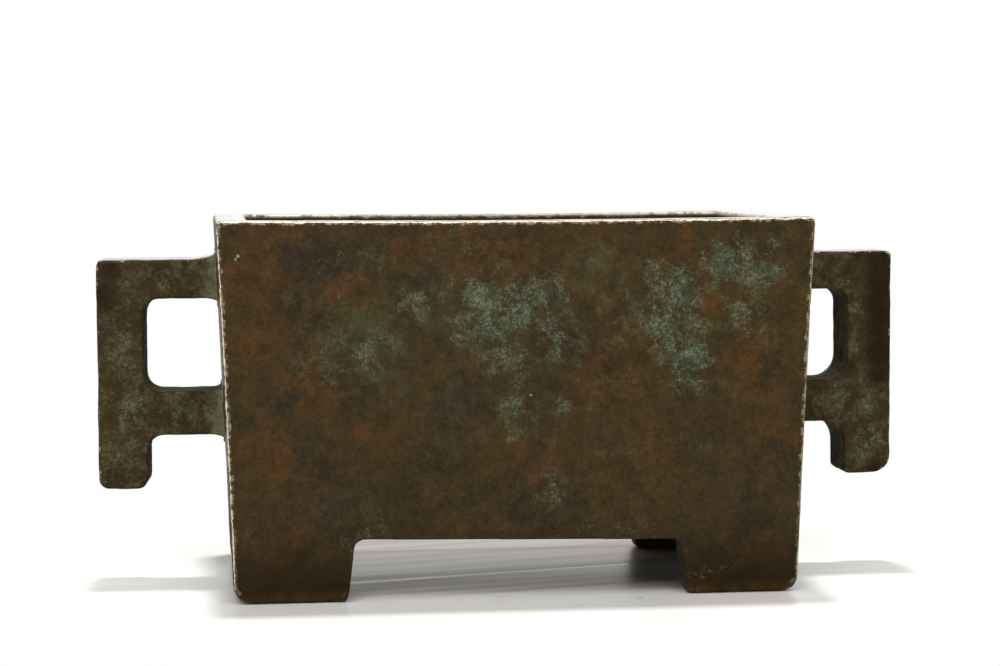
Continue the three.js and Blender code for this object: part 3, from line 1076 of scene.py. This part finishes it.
def soft_lamp(name, power, size, place, target):
    light = bpy.data.lights.new(name, "AREA")
    light.energy = power
    light.shape = "RECTANGLE"
    light.size, light.size_y = size
    lamp = bpy.data.objects.new(name, light)
    lamp.location = place
    lamp.rotation_mode = "QUATERNION"
    lamp.rotation_quaternion = (Vector(target) - Vector(place)).to_track_quat("-Z", "Y")
    bpy.context.scene.collection.objects.link(lamp)


class BURNER_OT_set_stage(bpy.types.Operator):
    """Make the camera, the lamps, the sky and the pale floor."""

    bl_idname = "burner.set_stage"
    bl_label = "Set the stage"

    def execute(self, context):
        scene = context.scene
        stage = scene.burner_stage
        scene.view_settings.view_transform = "Standard"

        data = bpy.data.cameras.new("camera")
        data.sensor_width = 36.0
        data.lens = stage.lens
        camera = bpy.data.objects.new("camera", data)
        camera.matrix_world = Matrix.Translation(stage.camera_place) @ camera_turn(stage).to_4x4()
        scene.collection.objects.link(camera)
        scene.camera = camera

        middle = (0.0, 0.0, 0.04)
        soft_lamp("key_lamp", stage.key_power, size=(0.12, 0.12), place=(-0.01, 0.177, 1.5), target=middle)
        soft_lamp("fill_lamp", stage.fill_power, size=(0.9, 0.5), place=(-0.1, -0.67, 0.62), target=middle)

        self.set_sky(scene, stage)
        self.lay_floor(stage)
        return {"FINISHED"}

    def set_sky(self, scene, stage):
        world = bpy.data.worlds.new("sky")
        world.use_nodes = True
        scene.world = world
        shader = Shader(world.node_tree)
        seen = shader.showing()
        direction = shader.node("ShaderNodeTexCoord", output="Generated")
        _, depth, up = shader.axes(direction)
        backdrop = depth.step(-0.3, 0.2) * (1 - up.step(0.35, 0.6))
        level = stage.room_level + backdrop * (stage.backdrop_level - stage.room_level)
        background = shader.node(
            "ShaderNodeBackground", values={"Color": (1.0, 1.0, 1.0, 1.0), "Strength": seen.most(level)})
        shader.node("ShaderNodeOutputWorld", values={"Surface": background})

    def lay_floor(self, stage):
        sheet = bmesh.new()
        bmesh.ops.create_grid(sheet, x_segments=8, y_segments=8, size=3.0)
        mesh = bpy.data.meshes.new("floor")
        sheet.to_mesh(mesh)
        sheet.free()
        floor = bpy.data.objects.new("floor", mesh)
        bpy.context.scene.collection.objects.link(floor)
        mesh.materials.append(self.floor_material(stage))

    def floor_material(self, stage):
        """A pale worn tabletop with a warm shade painted under the vessel and a shadow painted behind it,
        plain white to the camera beyond the object's shadows.
        """
        material = bpy.data.materials.new("pale_floor")
        material.use_nodes = True
        shader = Shader(material.node_tree)
        place = shader.node("ShaderNodeTexCoord", output="Object")
        drawn_out = shader.node(
            "ShaderNodeMapping", {"vector_type": "TEXTURE"},
            {"Vector": place, "Rotation": (0.0, 0.0, STREAK_ANGLE), "Scale": (STREAK_STRETCH, 1.0, 1.0)})
        streaks = shader.noise(drawn_out, 0.006, detail=5.0, roughness=0.65)
        broken = shader.noise(drawn_out, 0.0011, detail=2.0, roughness=0.5, shift=5.0)
        shade = 1.0 - streaks.step(0.35, 0.7) * 0.06
        colour = shader.scaled(tuple(stage.floor_colour), shade)

        # A pale scratch and a few specks of dirt under the belly, and a warm brown shade painted onto the
        # floor there
        across_streaks = shader.axes(drawn_out)[1]
        scratch = 1 - (abs(across_streaks - SCRATCH_AT) + (broken - 0.5) * 0.0006).step(0.0001, 0.0004)
        scratch = scratch * (1 - shader.away(place, (0.0, 0.0, 0.0)).step(*SCRATCH_END))
        dirt = shader.patches(place, FLOOR_DIRT, on_floor).step(0.3, 0.6)
        colour = shader.blend(dirt * 0.4, colour, opaque(stage.floor_dirt_and_shade))
        across, depth, _ = shader.axes(place)
        # Painted shade: the floor under the vessel turns warm brown, and partly metallic so that what it
        # reflects there turns brown too
        warm_shade = (1 - abs(across).step(*WARM_SHADE_SIDE)) * depth.step(*WARM_SHADE_FRONT)
        warm_shade = warm_shade * (0.35 + streaks.step(0.4, 0.65) * 0.25)
        colour = shader.blend(warm_shade, colour, opaque(stage.floor_dirt_and_shade))
        # Painted shadow: the strip of floor just behind the vessel is darkened
        painted_shadow = depth.step(*PAINTED_SHADOW_FRONT) * (1 - abs(across).step(*PAINTED_SHADOW_SIDE)) * (1 - depth.step(*PAINTED_SHADOW_BACK))
        colour = shader.scaled(colour, 1 - painted_shadow * 0.45)
        surface = shader.node("ShaderNodeBsdfPrincipled", values={
            "Base Color": colour,
            "Metallic": warm_shade * 0.8,
            "Roughness": 0.32 + streaks.step(0.35, 0.62) * 0.07 - scratch * 0.18,
            "Specular IOR Level": 0.5,
        })
        seen = shader.showing()
        behind = depth - (1 - abs(across).step(*MIDDLE_SIDE)) * MIDDLE_SHADOW
        far = abs(across).step(*SHADOWS_END["side"]).most(behind.step(*SHADOWS_END["back"]))
        far = far.most((0 - depth).step(*SHADOWS_END["front"]))
        white = shader.node(
            "ShaderNodeEmission", values={"Color": (1.0, 1.0, 1.0, 1.0), "Strength": 1.0})
        mixed = shader.node("ShaderNodeMixShader", values={0: seen * far, 1: surface, 2: white})
        shader.node("ShaderNodeOutputMaterial", values={"Surface": mixed})
        return material


class BURNER_PT_panel(bpy.types.Panel):
    """The burner's steps and settings in the sidebar."""

    bl_label = "Incense burner"
    bl_idname = "BURNER_PT_panel"
    bl_space_type = "VIEW_3D"
    bl_region_type = "UI"
    bl_category = "Incense burner"

    def draw(self, context):
        column = self.layout.column()
        for step in STEPS:
            column.operator(step.bl_idname)
        for group in (context.scene.burner_casting, context.scene.burner_patina, context.scene.burner_stage):
            box = self.layout.box()
            for name in group.bl_rna.properties.keys():
                if name not in ("rna_type", "name"):
                    box.prop(group, name)


STEPS = (
    BURNER_OT_set_stage,
    BURNER_OT_cast_body,
    BURNER_OT_cast_floor,
    BURNER_OT_cast_handles,
    BURNER_OT_set_rivets,
)
GROUPS = (
    ("burner_casting", CastingSettings),
    ("burner_patina", PatinaSettings),
    ("burner_stage", StageSettings),
)


def register():
    for name, group in GROUPS:
        bpy.utils.register_class(group)
        setattr(bpy.types.Scene, name, bpy.props.PointerProperty(type=group))
    for step in STEPS:
        bpy.utils.register_class(step)
    bpy.utils.register_class(BURNER_PT_panel)


def unregister():
    bpy.utils.unregister_class(BURNER_PT_panel)
    for step in reversed(STEPS):
        bpy.utils.unregister_class(step)
    for name, group in reversed(GROUPS):
        delattr(bpy.types.Scene, name)
        bpy.utils.unregister_class(group)


def main():
    register()
    bpy.ops.burner.set_stage()
    bpy.ops.burner.cast_body()
    bpy.ops.burner.cast_floor()
    bpy.ops.burner.cast_handles()
    bpy.ops.burner.set_rivets()


if __name__ == "__main__":
    main()
